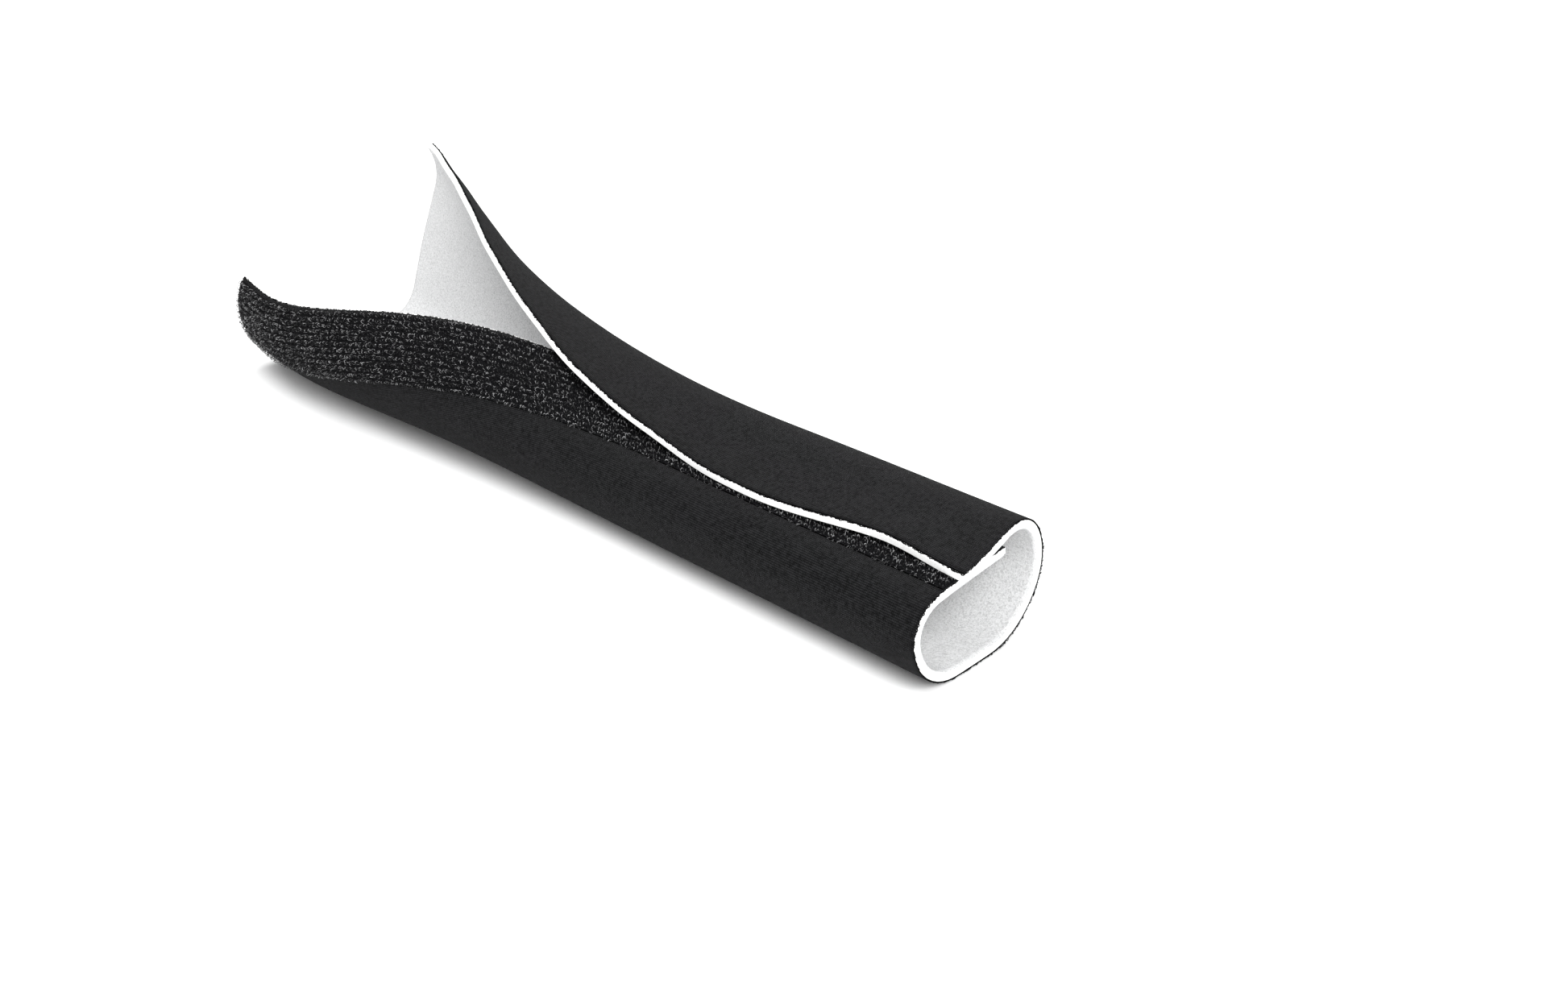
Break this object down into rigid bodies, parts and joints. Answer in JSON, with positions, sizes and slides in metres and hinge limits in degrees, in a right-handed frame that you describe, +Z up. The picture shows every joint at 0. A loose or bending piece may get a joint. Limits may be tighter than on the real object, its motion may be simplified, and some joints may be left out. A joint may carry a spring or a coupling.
{
  "type": "hook and loop cable sleeve",
  "caption": "Foam-cored fabric sheet wrapped into a sleeve and closed along its length by a hook tape on a loop lining, peeled open at one end.",
  "frame": {"origin": "centre of the sleeve's bounding box, on the plane that it lies on", "axes": "+X along the sleeve towards its closed end, +Y across it away from the seam's side, +Z up"},
  "size_m": [0.265, 0.0822, 0.0577],
  "materials": {
    "black_knit": "matt",
    "white_foam": "matt",
    "loop_lining": "brushed",
    "hook_tape": "satin"
  },
  "bodies": {
    "root": {"outer_knit_face": "black_knit", "foam_core": "white_foam", "loop_lining": "loop_lining", "hook_tape": "hook_tape"}
  },
  "joints": []
}
